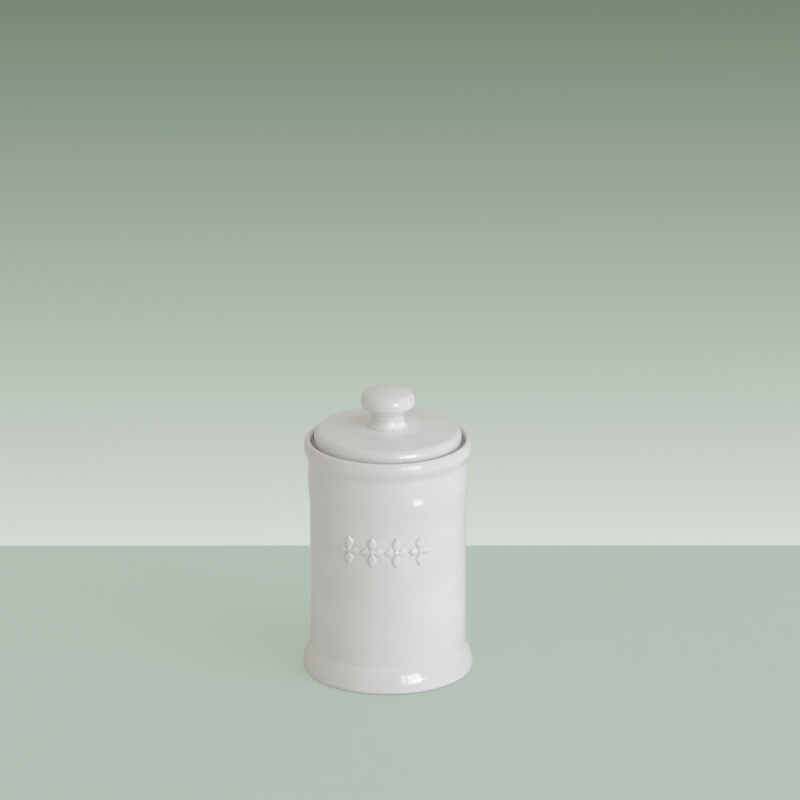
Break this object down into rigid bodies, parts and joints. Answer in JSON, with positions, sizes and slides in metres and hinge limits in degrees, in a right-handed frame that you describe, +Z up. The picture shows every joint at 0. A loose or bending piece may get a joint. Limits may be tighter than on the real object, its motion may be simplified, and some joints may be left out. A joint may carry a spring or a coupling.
{
  "type": "lidded salt jar",
  "caption": "White glazed ceramic salt jar: straight wall, swelling foot, rolled rim, raised flowers, and a drop-in lid with a knob that lifts off.",
  "frame": {"origin": "centre of the foot ring, on the surface that the jar stands on", "axes": "+Z up along the jar's axis, -Y towards the front, where the raised flowers are, +X to the right seen from the front"},
  "size_m": [0.1, 0.1, 0.174],
  "materials": {
    "jar_glaze": "glossy white glaze, bare body on the foot ring",
    "lid_glaze": "glossy white glaze, bare body on the seat and flange tip",
    "knob_glaze": "glossy white glaze"
  },
  "bodies": {
    "jar": {"jar": "jar_glaze"},
    "lid": {"lid": "lid_glaze", "knob": "knob_glaze"}
  },
  "joints": [
    {"name": "lid_lift", "type": "slide", "parent": "jar", "child": "lid", "axis": [0, 0, 1], "range_m": [0, 0.06]}
  ]
}
